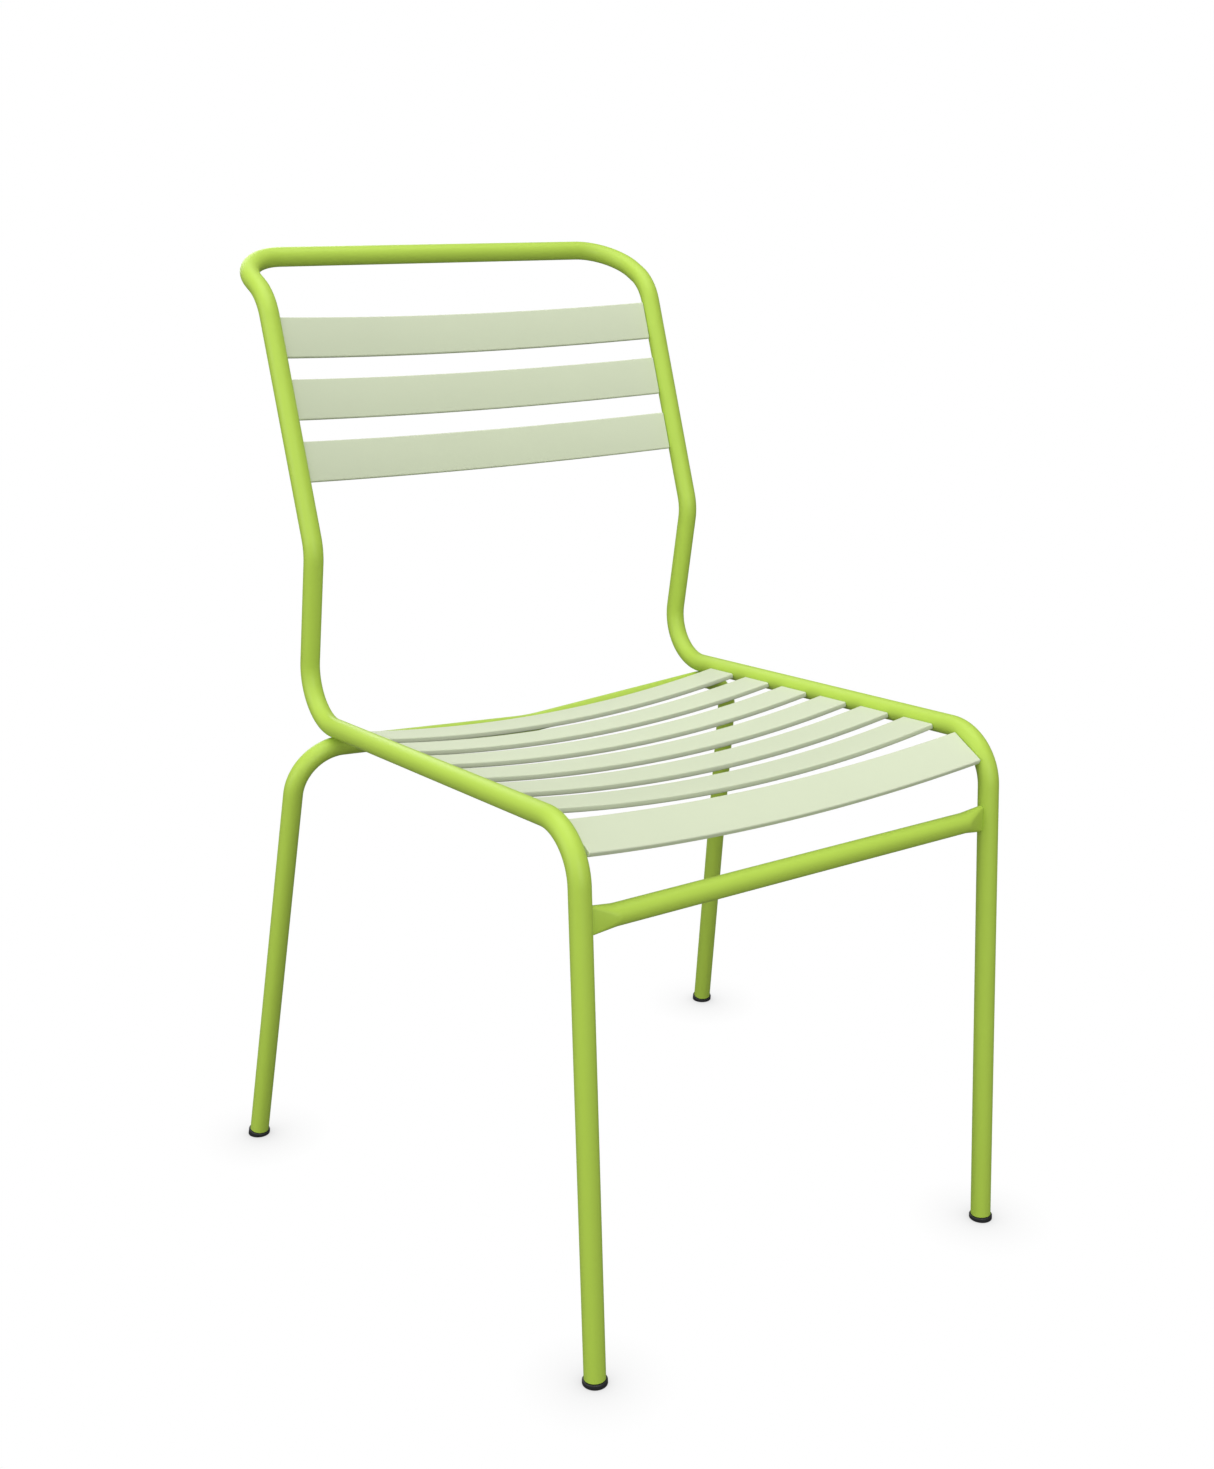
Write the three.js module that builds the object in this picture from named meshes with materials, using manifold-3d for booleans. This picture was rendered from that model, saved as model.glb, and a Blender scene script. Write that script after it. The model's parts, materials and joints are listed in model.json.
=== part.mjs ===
// Stacking chair: a bent steel tube frame carrying seven seat slats and three back slats.
// Millimetres, +Z up, the front of the chair faces -Y, +X is to the right seen from the front.
import * as THREE from 'three';
import { mergeVertices } from 'three/addons/utils/BufferGeometryUtils.js';
import Module from 'manifold-3d';

const wasm = await Module();
wasm.setup();

// ---- Driving sizes ---------------------------------------------------------

// Tube stock and the one bending die all the corners are made on.
const tubeDiameter = 18;
const tubeWall = 1.5;
const bendRadius = 45;

// Side view of the main frame, measured on the axis of the tube.
const seatHeight = 458;
const frontLegSetback = 25.5;
const seatDepth = 467;
const seatDrop = 30;
const lumbarRise = 163.5;
const lumbarLead = 31;
const backRise = 220.5;
const backLean = 76.5;
const curlRise = 30.8;
const curlReach = 66.5;

// Front view of the main frame.
const railSpacing = 419;
const frontFootSpacing = 425;

// Rear legs: one tube that runs up one leg, under both rails and down the other leg.
// Its shoulder bends end a little inside the rails, and it crosses them just where their
// own rear bends have begun, let into them a little, so its place follows the bend radius.
const rearFootSpacing = 553;
const rearFootDepth = 513;
const shoulderBendInset = 7.5;
const shoulderBendOverlap = 1;
const crossTubeNesting = 0.74;
const crossTubeDip = 17.5;
const crossTubeSetback = 4.5;
const crossTubeBendRadius = 180;

// Front crossbar, squeezed flat where it meets the legs.
const crossbarHeight = 384.8;
const crossbarSqueezeLength = 21;
const crossbarEndHeight = 24;
const crossbarEndDepth = 5;

// Slats: one stock, bowed the same amount in the seat and the back.
const slatWidth = 37;
const slatThickness = 5;
const slatEdgeRadius = 1.2;
const slatBow = 15;
const seatSlatCount = 6;
const seatSlatPitch = 57.2;
const seatSlatRise = 0.4;
const rearmostSlatLead = 104.5;
const frontSlatDepth = 40.5;
const frontSlatDrop = 12.2;
const frontSlatTilt = THREE.MathUtils.degToRad(27.6);
const backSlatCount = 3;
const backSlatPitch = 57;
const lowestBackSlatStation = 81;

// Hidden fixings: a lug on the tube under each slat end and a screw up through it.
const lugLength = 24;
const lugWidth = 16;
const lugThickness = 3;
const lugCornerRadius = 4;
const screwInset = 14;
const screwDiameter = 4;
const screwDepthInSlat = 3;
const screwHeadDiameter = 8;
const screwHeadHeight = 2.4;
const screwHeadCrown = 5.6;
const screwSocketDiameter = 3.2;
const screwSocketDepth = 1.4;

// Glides pushed into the open ends of the legs.
const glideFlangeDiameter = 20.8;
const glideRimChamfer = 0.8;
const glidePlugLength = 22;
const glideTipChamfer = 1.5;
const frontGlideHeight = 4;
const rearGlideHeight = 5.5;

// Clearances.
const contactGap = 0.3;
const slatEndGap = 0.5;
const plugClearance = 0.5;

// Facets.
const tubeSides = 16;
const boreSides = 12;
const bendStep = THREE.MathUtils.degToRad(12);
const slatSegments = 8;
const roundSides = 12;
const smallSides = 8;

// How far a cutting tool, or stock that is cut away, runs past the finished face.
const overshoot = 2;

// ---- Sizes that follow from the driving ones --------------------------------

const tubeRadius = tubeDiameter / 2;
const boreRadius = tubeRadius - tubeWall;
const railX = railSpacing / 2;
const slatLength = railSpacing - tubeDiameter - 2 * slatEndGap;

// Corners of the main frame in the side view, as depth and height.
const seatFrontCorner = { depth: frontLegSetback, height: seatHeight };
const seatRearCorner = {
  depth: seatFrontCorner.depth + seatDepth,
  height: seatFrontCorner.height - seatDrop,
};
const lumbarCorner = {
  depth: seatRearCorner.depth - lumbarLead,
  height: seatRearCorner.height + lumbarRise,
};
const curlCorner = {
  depth: lumbarCorner.depth + backLean,
  height: lumbarCorner.height + backRise,
};
const topCorner = {
  depth: curlCorner.depth + curlReach,
  height: curlCorner.height + curlRise,
};
const seatSlope = Math.atan2(-seatDrop, seatDepth);
const backSlope = Math.atan2(backRise, backLean);

// ---- Materials ---------------------------------------------------------------

const finishes = {
  lime: { color: 0xa9c64f, roughness: 0.42, metalness: 0.05 },
  pale: { color: 0xd9e2c8, roughness: 0.5, metalness: 0.0 },
  black: { color: 0x1b1c1e, roughness: 0.6, metalness: 0.0 },
  zinc: { color: 0xb4b8ba, roughness: 0.35, metalness: 0.9 },
};

function makeMesh(name, geometry, finish) {
  const material = new THREE.MeshStandardMaterial(finishes[finish]);
  const mesh = new THREE.Mesh(geometry, material);
  mesh.name = name;
  return mesh;
}

// ---- Solid helpers -------------------------------------------------------------

function toSolid(geometry) {
  const bare = geometry.clone();
  bare.deleteAttribute('normal');
  bare.deleteAttribute('uv');
  const merged = mergeVertices(bare, 1e-4);
  return new wasm.Manifold(new wasm.Mesh({
    numProp: 3,
    vertProperties: Float32Array.from(merged.attributes.position.array),
    triVerts: Uint32Array.from(merged.index.array),
  }));
}

function toGeometry(solid) {
  const mesh = solid.getMesh();
  const geometry = new THREE.BufferGeometry();
  geometry.setAttribute('position', new THREE.BufferAttribute(mesh.vertProperties, 3));
  geometry.setIndex(new THREE.BufferAttribute(mesh.triVerts, 1));
  geometry.computeVertexNormals();
  return geometry;
}

function cut(geometry, tools) {
  let solid = toSolid(geometry);
  for (const tool of tools) {
    solid = solid.subtract(toSolid(tool));
  }
  return toGeometry(solid);
}

// A tool drawn in the chair's own space, brought into the space of a placed piece.
function intoSpaceOf(placement, tool) {
  return tool.clone().applyMatrix4(placement.clone().invert());
}

function placementMatrix(position, rotation) {
  const turn = new THREE.Quaternion().setFromEuler(rotation);
  return new THREE.Matrix4().compose(position, turn, new THREE.Vector3(1, 1, 1));
}

// ---- Tube helpers ----------------------------------------------------------------

// A path given ring by ring, so bends get many rings and straight runs only two.
class RingPath extends THREE.Curve {
  constructor(rings) {
    super();
    this.rings = rings;
  }

  ringAt(t) {
    return this.rings[Math.round(t * (this.rings.length - 1))];
  }

  getPoint(t, target = new THREE.Vector3()) {
    return target.copy(this.ringAt(t).point);
  }

  getPointAt(t, target) {
    return this.getPoint(t, target);
  }

  getTangent(t, target = new THREE.Vector3()) {
    return target.copy(this.ringAt(t).tangent);
  }

  getTangentAt(t, target) {
    return this.getTangent(t, target);
  }
}

// Rings along straight runs joined by circular bends at the inner corners.
function bentRings(corners) {
  const first = corners[0].point;
  const last = corners[corners.length - 1].point;
  const rings = [{ point: first, tangent: direction(first, corners[1].point) }];
  for (let i = 1; i < corners.length - 1; i += 1) {
    const corner = corners[i].point;
    const arriving = direction(corners[i - 1].point, corner);
    const leaving = direction(corner, corners[i + 1].point);
    const turn = arriving.angleTo(leaving);
    const radius = corners[i].radius;
    const start = corner.clone().addScaledVector(arriving, -radius * Math.tan(turn / 2));
    const axis = arriving.clone().cross(leaving).normalize();
    const centre = start.clone().addScaledVector(axis.clone().cross(arriving), radius);
    const steps = Math.max(2, Math.round(turn / bendStep));
    for (let k = 0; k <= steps; k += 1) {
      const angle = (turn * k) / steps;
      const point = start.clone().sub(centre).applyAxisAngle(axis, angle).add(centre);
      const tangent = arriving.clone().applyAxisAngle(axis, angle);
      rings.push({ point, tangent });
    }
  }
  rings.push({ point: last, tangent: direction(corners[corners.length - 2].point, last) });
  return rings;
}

function direction(from, to) {
  return to.clone().sub(from).normalize();
}

function polygon(radius, sides) {
  const points = [];
  for (let i = 0; i < sides; i += 1) {
    const angle = (2 * Math.PI * i) / sides;
    points.push(new THREE.Vector2(radius * Math.cos(angle), radius * Math.sin(angle)));
  }
  return points;
}

function sweep(shape, rings) {
  const options = { steps: rings.length - 1, extrudePath: new RingPath(rings) };
  return new THREE.ExtrudeGeometry(shape, options);
}

function hollowTube(rings) {
  const shape = new THREE.Shape(polygon(tubeRadius, tubeSides));
  shape.holes.push(new THREE.Path(polygon(boreRadius, boreSides)));
  return sweep(shape, rings);
}

// The room a tube takes up, with the contact gap all round it.
function tubeRoom(rings) {
  return sweep(new THREE.Shape(polygon(tubeRadius + contactGap, tubeSides)), rings);
}

// ---- Frame tubes --------------------------------------------------------------------

function sidePoint(side, corner) {
  return new THREE.Vector3(side * railX, corner.depth, corner.height);
}

function frontFoot(side) {
  return new THREE.Vector3((side * frontFootSpacing) / 2, 0, 0);
}

function rearFoot(side) {
  return new THREE.Vector3((side * rearFootSpacing) / 2, rearFootDepth, 0);
}

function bend(point, radius = bendRadius) {
  return { point, radius };
}

// Point on a leg's axis, a little above the floor, where its tube is cut off.
function legEnd(foot, corner, height) {
  return foot.clone().addScaledVector(direction(foot, corner), height);
}

function frameRings() {
  const halfCorners = (side) => [
    bend(legEnd(frontFoot(side), sidePoint(side, seatFrontCorner), frontGlideHeight)),
    bend(sidePoint(side, seatFrontCorner)),
    bend(sidePoint(side, seatRearCorner)),
    bend(sidePoint(side, lumbarCorner)),
    bend(sidePoint(side, curlCorner)),
    bend(sidePoint(side, topCorner)),
  ];
  return bentRings([...halfCorners(-1), ...halfCorners(1).reverse()]);
}

function railHeightAt(depth) {
  return seatFrontCorner.height + (depth - seatFrontCorner.depth) * Math.tan(seatSlope);
}

const railRearTurn = Math.atan2(lumbarRise, -lumbarLead) - seatSlope;
const railRearBendStart = seatRearCorner.depth - bendRadius * Math.tan(railRearTurn / 2);
const shoulderDepth = railRearBendStart + shoulderBendOverlap;
const shoulderX = railX + bendRadius - shoulderBendInset;
const dipAtRail = crossTubeDip * (1 - railX / shoulderX);
const crossingHeight = railHeightAt(shoulderDepth) - tubeDiameter - contactGap + crossTubeNesting;
const shoulderHeight = crossingHeight + dipAtRail;

function shoulder(side) {
  return new THREE.Vector3(side * shoulderX, shoulderDepth, shoulderHeight);
}

function rearTubeRings() {
  const middleDepth = shoulderDepth + crossTubeSetback;
  const middle = new THREE.Vector3(0, middleDepth, shoulderHeight - crossTubeDip);
  return bentRings([
    bend(legEnd(rearFoot(-1), shoulder(-1), rearGlideHeight)),
    bend(shoulder(-1)),
    bend(middle, crossTubeBendRadius),
    bend(shoulder(1)),
    bend(legEnd(rearFoot(1), shoulder(1), rearGlideHeight)),
  ]);
}

const frameRoom = tubeRoom(frameRings());

function makeFrameTube() {
  return makeMesh('frame_tube', hollowTube(frameRings()), 'lime');
}

function makeRearLegTube() {
  return makeMesh('rear_leg_tube', cut(hollowTube(rearTubeRings()), [frameRoom]), 'lime');
}

// A straight tube squeezed to a tall flat oval over its two ends and coped to the legs.
// Its wall keeps its thickness where the tube is squeezed.
function makeFrontCrossbar() {
  const upTheLeg = crossbarHeight / seatFrontCorner.height;
  const depth = frontLegSetback * upTheLeg;
  const halfLength = THREE.MathUtils.lerp(frontFootSpacing / 2, railX, upTheLeg);
  const squeezeEnd = halfLength - tubeRadius;
  const squeezeStart = squeezeEnd - crossbarSqueezeLength;
  const squeezeSteps = 3;
  const stations = [halfLength];
  for (let i = 0; i <= squeezeSteps; i += 1) {
    stations.push(squeezeEnd - (crossbarSqueezeLength * i) / squeezeSteps);
  }
  const xs = [...stations.map((x) => -x), ...stations.slice().reverse()];
  const tangent = new THREE.Vector3(1, 0, 0);
  const rings = xs.map((x) => ({ point: new THREE.Vector3(x, 0, 0), tangent }));
  const geometry = hollowTube(rings);
  const positions = geometry.attributes.position;
  for (let i = 0; i < positions.count; i += 1) {
    const y = positions.getY(i);
    const z = positions.getZ(i);
    const inBore = Math.hypot(y, z) < tubeRadius - tubeWall / 2;
    const radius = inBore ? boreRadius : tubeRadius;
    const inset = tubeRadius - radius;
    const reach = (Math.abs(positions.getX(i)) - squeezeStart) / crossbarSqueezeLength;
    const squeeze = THREE.MathUtils.clamp(reach, 0, 1);
    const halfDepth = THREE.MathUtils.lerp(radius, crossbarEndDepth / 2 - inset, squeeze);
    const halfHeight = THREE.MathUtils.lerp(radius, crossbarEndHeight / 2 - inset, squeeze);
    positions.setY(i, (y * halfDepth) / radius);
    positions.setZ(i, (z * halfHeight) / radius);
  }
  const position = new THREE.Vector3(0, depth, crossbarHeight);
  const placement = placementMatrix(position, new THREE.Euler());
  const mesh = makeMesh('front_crossbar', cut(geometry, [intoSpaceOf(placement, frameRoom)]), 'lime');
  mesh.position.copy(position);
  return mesh;
}

// ---- Slats ------------------------------------------------------------------------------

const halfSlat = slatLength / 2;
const bowRadius = (halfSlat * halfSlat + slatBow * slatBow) / (2 * slatBow);
const slatEndAngle = Math.asin(halfSlat / bowRadius);

// Section with its outer face along y = 0 and its thickness toward +y.
function slatSection() {
  const halfWidth = slatWidth / 2;
  const points = [];
  const corners = [
    [halfWidth - slatEdgeRadius, slatThickness - slatEdgeRadius, 0],
    [-halfWidth + slatEdgeRadius, slatThickness - slatEdgeRadius, 1],
    [-halfWidth + slatEdgeRadius, slatEdgeRadius, 2],
    [halfWidth - slatEdgeRadius, slatEdgeRadius, 3],
  ];
  for (const [x, y, quarter] of corners) {
    for (const part of [0, 0.5, 1]) {
      const angle = ((quarter + part) * Math.PI) / 2;
      const dx = slatEdgeRadius * Math.cos(angle);
      const dy = slatEdgeRadius * Math.sin(angle);
      points.push(new THREE.Vector2(x + dx, y + dy));
    }
  }
  return new THREE.Shape(points);
}

// Place on the slat's outer face at an angle round the bow, and its direction there.
function bowRing(angle) {
  const point = new THREE.Vector3(
    bowRadius * Math.sin(angle), 0, bowRadius * (Math.cos(slatEndAngle) - Math.cos(angle)));
  const tangent = new THREE.Vector3(Math.cos(angle), 0, Math.sin(angle));
  return { point, tangent };
}

// Where the screw crosses the slat: its angle round the bow and the matrix that stands
// a piece there with +Z along the thickness toward the outer face.
function screwPlace(side, distanceBelowFace) {
  const angle = side * (slatEndAngle - screwInset / bowRadius);
  const { point } = bowRing(angle);
  const normal = new THREE.Vector3(-Math.sin(angle), 0, Math.cos(angle));
  const position = point.addScaledVector(normal, -distanceBelowFace);
  const rotation = new THREE.Euler(0, -angle, 0);
  return { position, rotation, matrix: placementMatrix(position, rotation) };
}

function screwHole() {
  const radius = screwDiameter / 2 + contactGap;
  const depth = screwDepthInSlat + contactGap;
  const hole = new THREE.CylinderGeometry(radius, radius, depth + overshoot, smallSides);
  hole.rotateX(Math.PI / 2);
  hole.translate(0, 0, (depth - overshoot) / 2);
  return hole;
}

function slatGeometry() {
  const rings = [];
  for (let i = 0; i <= slatSegments; i += 1) {
    rings.push(bowRing(slatEndAngle * ((2 * i) / slatSegments - 1)));
  }
  const bar = sweep(slatSection(), rings);
  const holes = [-1, 1].map((side) => {
    return screwHole().applyMatrix4(screwPlace(side, slatThickness).matrix);
  });
  return cut(bar, holes);
}

// ---- Fixings -------------------------------------------------------------------------------

// Flat plate, one end rounded, the other long enough to run into the tube.
function lugPlate(side) {
  const innerEnd = -(lugLength - screwInset);
  const outerEnd = screwInset + tubeRadius;
  const half = lugWidth / 2;
  const shape = new THREE.Shape();
  shape.moveTo(outerEnd, -half);
  shape.lineTo(outerEnd, half);
  shape.lineTo(innerEnd + lugCornerRadius, half);
  shape.lineTo(innerEnd, half - lugCornerRadius);
  shape.lineTo(innerEnd, -half + lugCornerRadius);
  shape.lineTo(innerEnd + lugCornerRadius, -half);
  shape.holes.push(new THREE.Path(polygon(screwDiameter / 2 + contactGap, smallSides)));
  const plate = new THREE.ExtrudeGeometry(shape, { depth: lugThickness, bevelEnabled: false });
  if (side < 0) {
    plate.rotateZ(Math.PI);
  }
  return plate;
}

function screwGeometry() {
  const headRadius = screwHeadDiameter / 2;
  const shankRadius = screwDiameter / 2;
  const shankTop = lugThickness + 2 * contactGap + screwDepthInSlat;
  const socketRadius = screwSocketDiameter / 2;
  const profile = [
    [0, screwSocketDepth - screwHeadHeight],
    [socketRadius, screwSocketDepth - screwHeadHeight],
    [socketRadius, -screwHeadHeight],
    [screwHeadCrown / 2, -screwHeadHeight],
    [headRadius, -screwHeadHeight / 2],
    [headRadius, 0],
    [shankRadius, 0],
    [shankRadius, shankTop],
    [0, shankTop],
  ].map(([radius, height]) => new THREE.Vector2(radius, height));
  const screw = new THREE.LatheGeometry(profile, smallSides);
  screw.rotateX(Math.PI / 2);
  return screw;
}

// One slat with its two lugs and two screws, in the plane of the tube axes.
function makeSlatSet(name, depth, height, slope) {
  const set = new THREE.Group();
  set.position.set(0, depth, height);
  set.rotation.set(slope, 0, 0);
  set.updateMatrix();
  const slat = cut(slatGeometry(), [intoSpaceOf(set.matrix, frameRoom)]);
  set.add(makeMesh(name, slat, 'pale'));
  for (const side of [-1, 1]) {
    const ending = side < 0 ? 'left' : 'right';
    const lugDistance = slatThickness + contactGap + lugThickness;
    const lugPlace = screwPlace(side, lugDistance);
    const lugWorld = set.matrix.clone().multiply(lugPlace.matrix);
    const plate = cut(lugPlate(side), [intoSpaceOf(lugWorld, frameRoom)]);
    const lug = makeMesh(`${name}_lug_${ending}`, plate, 'lime');
    lug.position.copy(lugPlace.position);
    lug.rotation.copy(lugPlace.rotation);
    const screwSeat = screwPlace(side, lugDistance + contactGap);
    const screw = makeMesh(`${name}_screw_${ending}`, screwGeometry(), 'zinc');
    screw.position.copy(screwSeat.position);
    screw.rotation.copy(screwSeat.rotation);
    set.add(lug, screw);
  }
  return set;
}

function makeSeatSlats() {
  const sets = [];
  for (let i = 0; i < seatSlatCount; i += 1) {
    const along = rearmostSlatLead + i * seatSlatPitch;
    const depth = seatRearCorner.depth - along * Math.cos(seatSlope);
    const height = railHeightAt(depth) + seatSlatRise;
    sets.push(makeSlatSet(`seat_slat_${i + 1}`, depth, height, seatSlope));
  }
  const frontHeight = seatFrontCorner.height - frontSlatDrop;
  sets.push(makeSlatSet('seat_slat_front', frontSlatDepth, frontHeight, frontSlatTilt));
  return sets;
}

function makeBackSlats() {
  const sets = [];
  for (let i = 0; i < backSlatCount; i += 1) {
    const along = lowestBackSlatStation + i * backSlatPitch;
    const depth = lumbarCorner.depth + along * Math.cos(backSlope);
    const height = lumbarCorner.height + along * Math.sin(backSlope);
    sets.push(makeSlatSet(`back_slat_${i + 1}`, depth, height, backSlope));
  }
  return sets;
}

// ---- Glides ----------------------------------------------------------------------------------

// A ribless plug with a flange under the tube end, planed off level with the floor.
function makeGlide(name, foot, corner, height) {
  const flangeRadius = glideFlangeDiameter / 2;
  const plugRadius = boreRadius - plugClearance;
  const seat = height - contactGap;
  const axis = direction(foot, corner);
  const up = new THREE.Vector3(0, 0, 1);
  const stock = flangeRadius * Math.tan(axis.angleTo(up)) + overshoot;
  const profile = [
    [0, -stock],
    [flangeRadius, -stock],
    [flangeRadius, seat - glideRimChamfer],
    [flangeRadius - glideRimChamfer, seat],
    [plugRadius, seat],
    [plugRadius, seat + glidePlugLength - glideTipChamfer],
    [plugRadius - glideTipChamfer, seat + glidePlugLength],
    [0, seat + glidePlugLength],
  ].map(([radius, z]) => new THREE.Vector2(radius, z));
  const body = new THREE.LatheGeometry(profile, roundSides);
  body.rotateX(Math.PI / 2);
  const turn = new THREE.Quaternion().setFromUnitVectors(up, axis);
  const rotation = new THREE.Euler().setFromQuaternion(turn);
  const slab = 3 * glideFlangeDiameter;
  const underFloor = new THREE.BoxGeometry(slab, slab, slab);
  underFloor.translate(foot.x, foot.y, -slab / 2);
  const tool = intoSpaceOf(placementMatrix(foot, rotation), underFloor);
  const mesh = makeMesh(name, cut(body, [tool]), 'black');
  mesh.position.copy(foot);
  mesh.rotation.copy(rotation);
  return mesh;
}

function makeGlides() {
  const glides = [];
  for (const side of [-1, 1]) {
    const ending = side < 0 ? 'left' : 'right';
    const railCorner = sidePoint(side, seatFrontCorner);
    glides.push(makeGlide(`front_glide_${ending}`, frontFoot(side), railCorner, frontGlideHeight));
    glides.push(makeGlide(`rear_glide_${ending}`, rearFoot(side), shoulder(side), rearGlideHeight));
  }
  return glides;
}

// ---- Assembly --------------------------------------------------------------------------------

const assembly = new THREE.Group();
assembly.add(makeFrameTube(), makeRearLegTube(), makeFrontCrossbar());
assembly.add(...makeSeatSlats(), ...makeBackSlats(), ...makeGlides());

// Centre the chair over the origin, front to back.
const extent = new THREE.Box3().setFromObject(assembly);
assembly.position.y = -(extent.min.y + extent.max.y) / 2;

const chair = new THREE.Group();
chair.name = 'stacking_chair';
chair.add(assembly);

export default chair;
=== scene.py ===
import json
import math

import bmesh
import bpy
from bpy.props import FloatProperty, FloatVectorProperty, IntProperty, PointerProperty
from mathutils import Matrix, Vector


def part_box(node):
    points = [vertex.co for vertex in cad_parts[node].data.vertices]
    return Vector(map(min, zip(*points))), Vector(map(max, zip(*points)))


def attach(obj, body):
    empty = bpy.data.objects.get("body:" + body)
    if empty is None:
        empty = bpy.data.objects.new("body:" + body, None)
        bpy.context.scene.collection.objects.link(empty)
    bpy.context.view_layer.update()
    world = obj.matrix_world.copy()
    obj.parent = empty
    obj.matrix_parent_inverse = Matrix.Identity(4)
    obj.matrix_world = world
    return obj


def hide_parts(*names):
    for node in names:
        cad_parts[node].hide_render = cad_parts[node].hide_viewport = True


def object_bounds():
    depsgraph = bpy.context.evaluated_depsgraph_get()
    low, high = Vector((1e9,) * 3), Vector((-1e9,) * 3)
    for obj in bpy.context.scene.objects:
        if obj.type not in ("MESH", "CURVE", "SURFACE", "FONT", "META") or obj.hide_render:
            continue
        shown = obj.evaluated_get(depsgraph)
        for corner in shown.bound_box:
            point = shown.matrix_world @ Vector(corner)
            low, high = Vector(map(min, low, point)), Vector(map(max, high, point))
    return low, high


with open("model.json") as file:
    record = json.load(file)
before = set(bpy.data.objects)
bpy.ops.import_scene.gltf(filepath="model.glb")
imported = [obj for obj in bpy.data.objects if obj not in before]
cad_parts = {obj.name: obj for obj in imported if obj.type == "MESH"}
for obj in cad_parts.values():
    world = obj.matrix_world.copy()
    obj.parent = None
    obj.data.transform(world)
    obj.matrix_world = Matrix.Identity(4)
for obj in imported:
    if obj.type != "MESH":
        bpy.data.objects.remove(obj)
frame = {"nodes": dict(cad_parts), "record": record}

bl_info = {
    "name": "Stacking Chair",
    "version": (1, 0, 0),
    "blender": (4, 5, 0),
    "location": "3D View > Sidebar > Chair",
    "description": "Models a bent tube stacking chair with bowed slats around its packed solids",
    "category": "Add Mesh",
}

MM = 0.001
CAD_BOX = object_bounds()
FEET = {mount["name"]: Vector(mount["pos_m"]) for mount in frame["record"]["mounts"]}
SIDES = {"left": -1, "right": 1}
FRONT_SLAT = "seat_slat_front"

# Tolerances: doubles are merged, and vertices or edges are found, within these distances.
MERGE_DISTANCE = 0.002 * MM
FIND_DISTANCE = 0.01 * MM
FIND_ANGLE = 1e-5

# How finely the curved shapes are divided.
FRAME_BEND_STEP = math.radians(4)
REAR_BEND_STEP = math.radians(2.5)
ROOM_BEND_STEP = math.radians(5)
STRAIGHT_TURN = math.radians(0.01)
SADDLE_RINGS = 4
SADDLE_RING_PITCH = 2 * MM
PRESS_STEPS = 14
PRESS_FILLET_STEPS = 2
BOW_STEPS = 48
DRILL_SIDES = 32
SCREW_SIDES = 48
SCREW_DOME_RINGS = 8
GLIDE_SIDES = 64
GLIDE_RIM_RINGS = 5

# Small roundings and the angles that make an edge a sharp one.
LIP_RADIUS = 0.4 * MM
LIP_ANGLE = math.radians(60)
EDGE_RADIUS = 0.3 * MM
SCREW_EDGE_RADIUS = 0.12 * MM
SHARP_ANGLE = math.radians(50)
SMOOTH_ANGLE = math.radians(35)
SCREW_DOME_ANGLE = math.radians(62)
SCREW_RIM_SHARE = 0.25
SCREW_KEY_SHARE = 1.3
FOOT_STOCK = 4 * MM

# The stage.
WHITE = (1.0, 1.0, 1.0, 1.0)
FLOOR_SIZE = 30
FLOOR_BOUNCE_COLOUR = (0.16, 0.16, 0.16, 1.0)
CONTACT_SHADOW_REACH = 60 * MM
CONTACT_SHADOW_STRENGTH = 0.6
SURROUND_STRENGTH = 0.30
# Each softbox: where it hangs, its side and its power.
SOFT_LIGHTS = {
    "overhead": ((-0.3, -0.2, 3.2), 3.0, 67),
    "left_front": ((-2.6, -2.0, 1.9), 1.6, 13.5),
    "left": ((-3.0, 0.2, 1.2), 1.8, 32),
    "front": ((-0.6, -3.0, 1.2), 1.8, 35),
    "back": ((0.4, 3.0, 1.8), 1.8, 30),
}
CAMERA_PLACE = (-0.86895, -1.29652, 0.90222)
CAMERA_TILT = math.radians(90 - 17.051)
CAMERA_HEADING = math.radians(-33.873)
CAMERA_ANGLE = math.radians(45)
CAMERA_NEAR = 0.01
CAMERA_FAR = 100


# ---- Sizes and colours ----


def length(name, description, millimetres):
    """A length that the user can change, given in millimetres and kept in metres."""
    return FloatProperty(
        name=name, description=description, default=millimetres * MM, min=0.0,
        unit="LENGTH", precision=5,
    )


def colour(name, description, default):
    """A paint or plastic colour that the user can change."""
    return FloatVectorProperty(
        name=name, description=description, default=default, size=3,
        min=0.0, max=1.0, subtype="COLOR",
    )


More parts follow.
